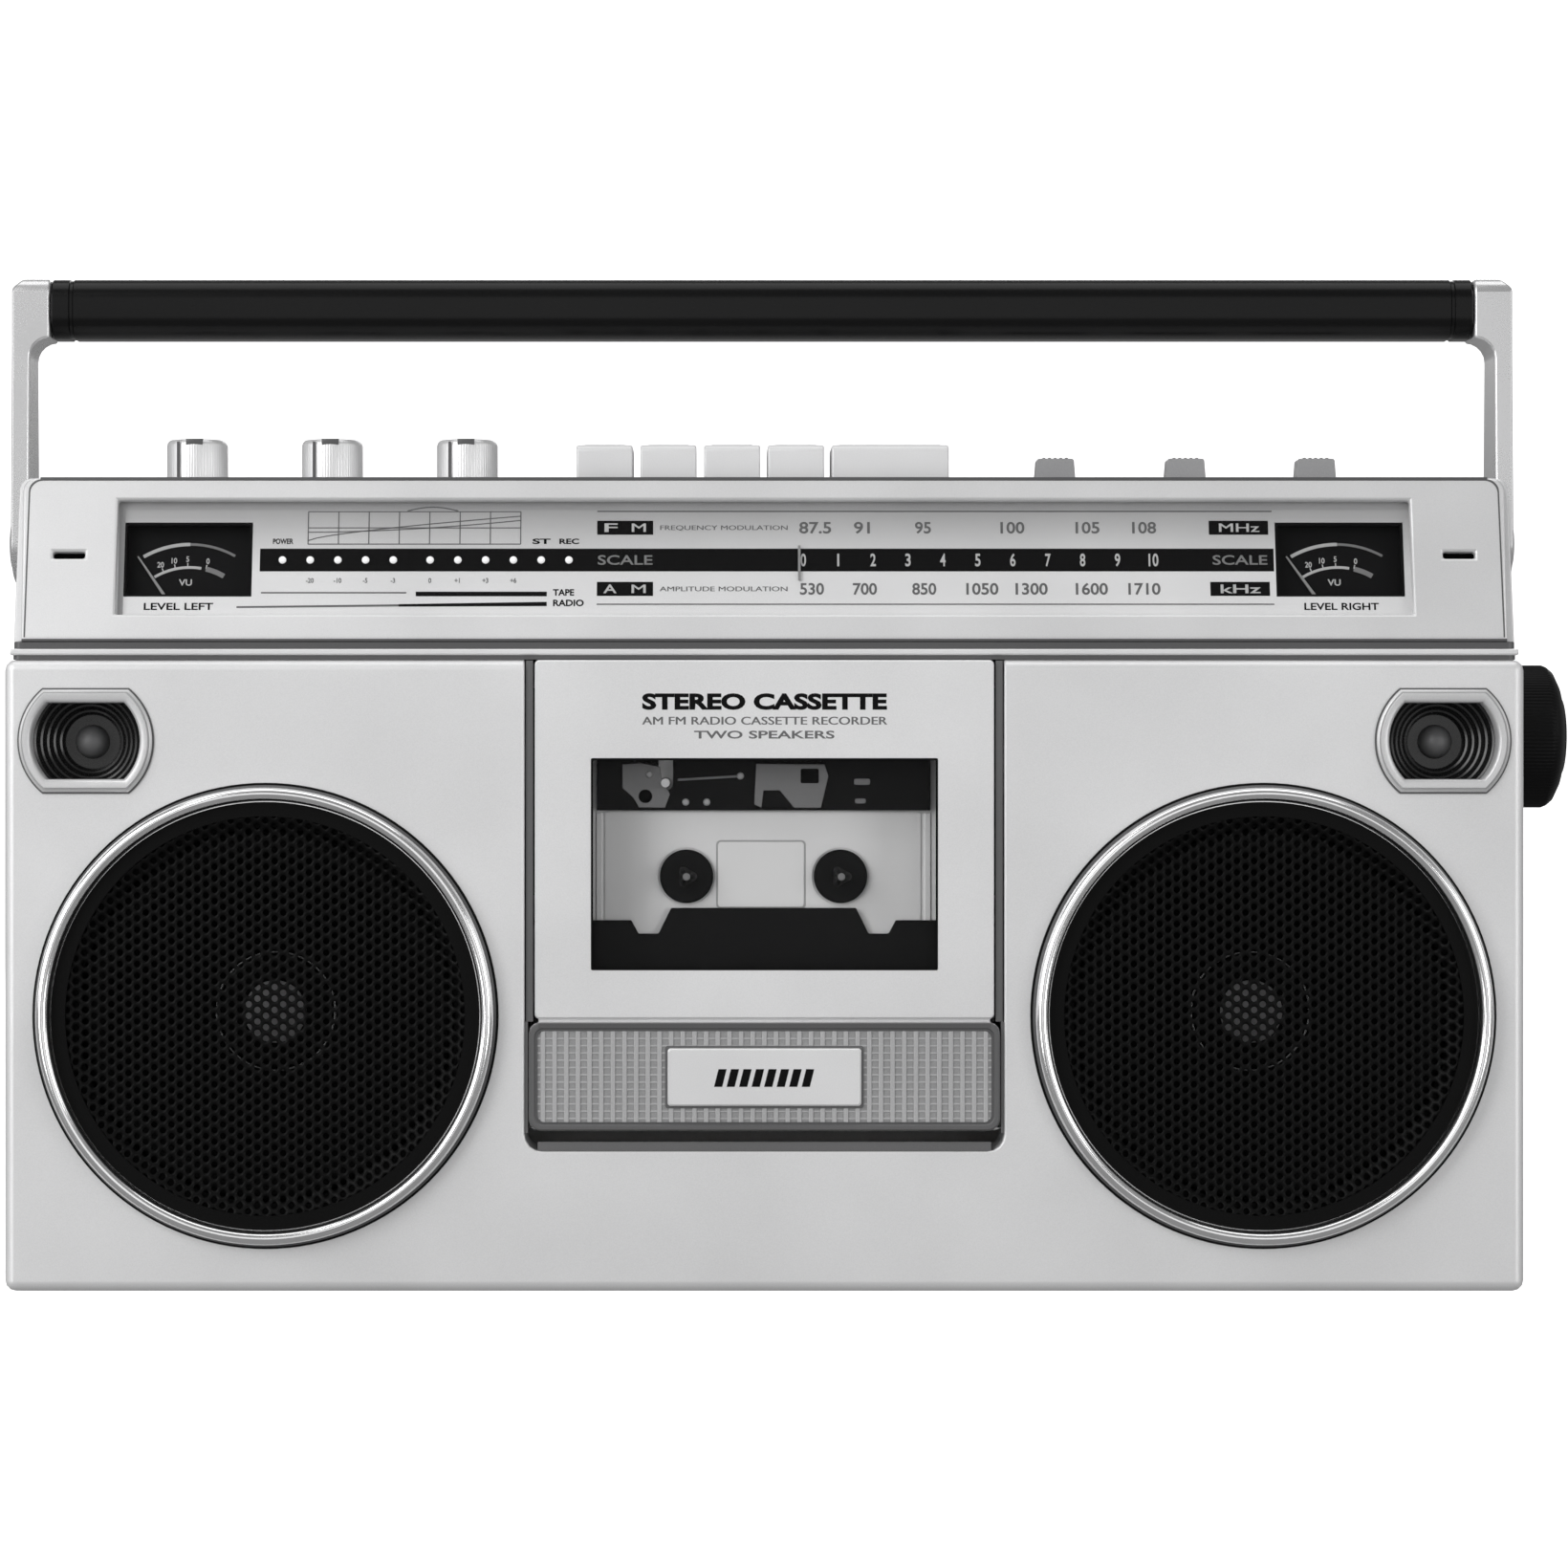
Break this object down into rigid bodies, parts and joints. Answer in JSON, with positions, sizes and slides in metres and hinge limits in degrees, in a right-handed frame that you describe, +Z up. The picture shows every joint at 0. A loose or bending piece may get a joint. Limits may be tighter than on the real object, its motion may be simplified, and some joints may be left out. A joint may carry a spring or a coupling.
{
  "type": "boombox",
  "caption": "Portable stereo radio and cassette recorder: wide silver cabinet, ringed speakers, tilted tuner dial, cassette door, top keys and knobs, folding handle and telescopic aerial.",
  "frame": {"origin": "centre of the object's box from side to side and from front to back, on the surface that it stands on", "axes": "+Z up, +X to the right as seen from the front, +Y to the back, so the speakers face -Y"},
  "size_m": [0.4364, 0.1254, 0.2834],
  "materials": {
    "silver_body": "satin silver paint",
    "silver_face": "brushed silver",
    "silver_trim": "satin",
    "chrome": "polished",
    "knob_silver": "plated",
    "steel": "plain",
    "brass": "turned",
    "black": "moulded",
    "grille": "black enamel",
    "cone": "paper",
    "rubber": "matt",
    "grip": "satin black",
    "grey": "moulded",
    "key": "satin silver",
    "dial": "printed",
    "pointer": "moulded",
    "needle": "painted",
    "clear": "clear",
    "smoked": "smoked",
    "board": "laminate"
  },
  "bodies": {
    "cabinet": {"front_cabinet": "silver_body", "rear_cabinet": "silver_body", "top_panel": "silver_body", "tuner_bezel": "silver_face", "dial_plate": "dial", "dial_lens": "clear", "vu_meter_left": "black", "vu_meter_right": "black", "speaker_ring_left": "chrome", "speaker_ring_right": "chrome", "speaker_grille_left": "grille", "speaker_grille_right": "grille", "woofer_basket_left": "steel", "woofer_basket_right": "steel", "woofer_cone_left": "cone", "woofer_cone_right": "cone", "tweeter_bezel_left": "silver_trim", "tweeter_bezel_right": "silver_trim", "tweeter_horn_left": "cone", "tweeter_horn_right": "cone", "deck_chassis": "steel", "tape_motor": "steel", "drive_belt": "rubber", "main_board": "board", "power_inlet": "black", "power_transformer": "steel", "foot_front": "rubber", "foot_rear": "rubber"},
    "handle": {"handle_grip": "grip", "handle_arm_left": "silver_trim", "handle_arm_right": "silver_trim"},
    "cassette_door": {"cassette_door": "silver_face", "door_window": "smoked", "cassette_holder": "black"},
    "supply_spindle": {"supply_spindle": "black"},
    "takeup_spindle": {"takeup_spindle": "black"},
    "capstan": {"capstan_flywheel": "brass"},
    "motor_pulley": {"motor_pulley": "brass"},
    "head_carriage": {"head_carriage": "black"},
    "pinch_roller": {"pinch_roller": "rubber"},
    "record_key": {"record_key": "key"},
    "play_key": {"play_key": "key"},
    "rewind_key": {"rewind_key": "key"},
    "forward_key": {"forward_key": "key"},
    "stop_eject_key": {"stop_eject_key": "key"},
    "volume_knob": {"volume_knob": "knob_silver"},
    "tone_knob": {"tone_knob": "knob_silver"},
    "balance_knob": {"balance_knob": "knob_silver"},
    "function_switch": {"function_switch": "grey"},
    "band_switch": {"band_switch": "grey"},
    "mode_switch": {"mode_switch": "grey"},
    "tuning_knob": {"tuning_knob": "grip"},
    "dial_pointer": {"dial_pointer": "pointer"},
    "needle_left": {"vu_needle_left": "needle"},
    "needle_right": {"vu_needle_right": "needle"},
    "antenna_base": {"antenna_base": "black"},
    "antenna_tube": {"antenna_outer_tube": "chrome"},
    "antenna_inner": {"antenna_inner_tube": "chrome"},
    "antenna_tip": {"antenna_tip_rod": "chrome"},
    "battery_door": {"battery_door": "silver_body"}
  },
  "joints": [
    {"name": "handle_fold", "type": "hinge", "parent": "cabinet", "child": "handle", "pos_m": [-0.0057, 0.00275, 0.208], "axis": [-1, 0, 0], "range_deg": [0, 90]},
    {"name": "door_open", "type": "hinge", "parent": "cabinet", "child": "cassette_door", "pos_m": [-0.0057, -0.04925, 0.05], "axis": [1, 0, 0], "range_deg": [0, 35]},
    {"name": "supply_spin", "type": "hinge", "parent": "cabinet", "child": "supply_spindle", "pos_m": [-0.02695, -0.03925, 0.1143], "axis": [0, 1, 0], "continuous": true},
    {"name": "takeup_spin", "type": "hinge", "parent": "cabinet", "child": "takeup_spindle", "pos_m": [0.01555, -0.03925, 0.1143], "axis": [0, 1, 0], "continuous": true},
    {"name": "capstan_spin", "type": "hinge", "parent": "cabinet", "child": "capstan", "pos_m": [-0.0327, -0.03125, 0.14], "axis": [0, 1, 0], "continuous": true},
    {"name": "pulley_spin", "type": "hinge", "parent": "cabinet", "child": "motor_pulley", "pos_m": [0.0263, -0.02725, 0.08], "axis": [0, 1, 0], "continuous": true},
    {"name": "head_slide", "type": "slide", "parent": "cabinet", "child": "head_carriage", "axis": [0, 0, -1], "range_m": [0, 0.0085]},
    {"name": "roller_spin", "type": "hinge", "parent": "head_carriage", "child": "pinch_roller", "pos_m": [-0.0327, -0.04475, 0.1555], "axis": [0, 1, 0], "continuous": true},
    {"name": "record_key_press", "type": "hinge", "parent": "cabinet", "child": "record_key", "pos_m": [-0.05005, 0.00475, 0.218], "axis": [1, 0, 0], "range_deg": [0, 8], "stiffness_Nm_per_rad": 0.1, "springref_deg": -17.19},
    {"name": "play_key_press", "type": "hinge", "parent": "cabinet", "child": "play_key", "pos_m": [-0.03215, 0.00475, 0.218], "axis": [1, 0, 0], "range_deg": [0, 8], "stiffness_Nm_per_rad": 0.1, "springref_deg": -17.19},
    {"name": "rewind_key_press", "type": "hinge", "parent": "cabinet", "child": "rewind_key", "pos_m": [-0.01425, 0.00475, 0.218], "axis": [1, 0, 0], "range_deg": [0, 8], "stiffness_Nm_per_rad": 0.1, "springref_deg": -17.19},
    {"name": "forward_key_press", "type": "hinge", "parent": "cabinet", "child": "forward_key", "pos_m": [0.00365, 0.00475, 0.218], "axis": [1, 0, 0], "range_deg": [0, 8], "stiffness_Nm_per_rad": 0.1, "springref_deg": -17.19},
    {"name": "stop_eject_key_press", "type": "hinge", "parent": "cabinet", "child": "stop_eject_key", "pos_m": [0.0301, 0.00475, 0.218], "axis": [1, 0, 0], "range_deg": [0, 8], "stiffness_Nm_per_rad": 0.1, "springref_deg": -17.19},
    {"name": "volume_knob_turn", "type": "hinge", "parent": "cabinet", "child": "volume_knob", "pos_m": [-0.1663, 0.00075, 0.23], "axis": [0, 0, 1], "range_deg": [-150, 150]},
    {"name": "tone_knob_turn", "type": "hinge", "parent": "cabinet", "child": "tone_knob", "pos_m": [-0.1279, 0.00075, 0.23], "axis": [0, 0, 1], "range_deg": [-150, 150]},
    {"name": "balance_knob_turn", "type": "hinge", "parent": "cabinet", "child": "balance_knob", "pos_m": [-0.0895, 0.00075, 0.23], "axis": [0, 0, 1], "range_deg": [-150, 150]},
    {"name": "function_switch_slide", "type": "slide", "parent": "cabinet", "child": "function_switch", "axis": [1, 0, 0], "range_m": [-0.004, 0.004]},
    {"name": "band_switch_slide", "type": "slide", "parent": "cabinet", "child": "band_switch", "axis": [1, 0, 0], "range_m": [-0.004, 0.004]},
    {"name": "mode_switch_slide", "type": "slide", "parent": "cabinet", "child": "mode_switch", "axis": [1, 0, 0], "range_m": [-0.004, 0.004]},
    {"name": "tuning_turn", "type": "hinge", "parent": "cabinet", "child": "tuning_knob", "pos_m": [0.2103, -0.02125, 0.1532], "axis": [1, 0, 0], "range_deg": [0, 1080]},
    {"name": "pointer_slide", "type": "slide", "parent": "cabinet", "child": "dial_pointer", "axis": [1, 0, 0], "range_m": [0, 0.096]},
    {"name": "needle_left_swing", "type": "hinge", "parent": "cabinet", "child": "needle_left", "pos_m": [-0.1637, -0.04736, 0.1819], "axis": [0, 0.9721, -0.2345], "range_deg": [0, 60]},
    {"name": "needle_right_swing", "type": "hinge", "parent": "cabinet", "child": "needle_right", "pos_m": [0.1523, -0.04736, 0.1819], "axis": [0, 0.9721, -0.2345], "range_deg": [0, 60]},
    {"name": "antenna_swivel", "type": "hinge", "parent": "cabinet", "child": "antenna_base", "pos_m": [-0.1937, 0.05075, 0.213], "axis": [0, 0, 1], "range_deg": [0, 180]},
    {"name": "antenna_lift", "type": "hinge", "parent": "antenna_base", "child": "antenna_tube", "pos_m": [-0.1937, 0.05075, 0.213], "axis": [0, -1, 0], "range_deg": [0, 90]},
    {"name": "antenna_extend_inner", "type": "slide", "parent": "antenna_tube", "child": "antenna_inner", "axis": [1, 0, 0], "range_m": [0, 0.215]},
    {"name": "antenna_extend_tip", "type": "slide", "parent": "antenna_inner", "child": "antenna_tip", "axis": [1, 0, 0], "range_m": [0, 0.215]},
    {"name": "battery_door_open", "type": "hinge", "parent": "cabinet", "child": "battery_door", "pos_m": [-0.0057, 0.06115, 0.0194], "axis": [-1, 0, 0], "range_deg": [0, 90]}
  ],
  "couplings": [
    {"joint": "pulley_spin", "follows": "capstan_spin", "ratio": 4.8889},
    {"joint": "head_slide", "follows": "play_key_press", "m_per_rad": 0.0608},
    {"joint": "pointer_slide", "follows": "tuning_turn", "m_per_rad": 0.00509}
  ]
}
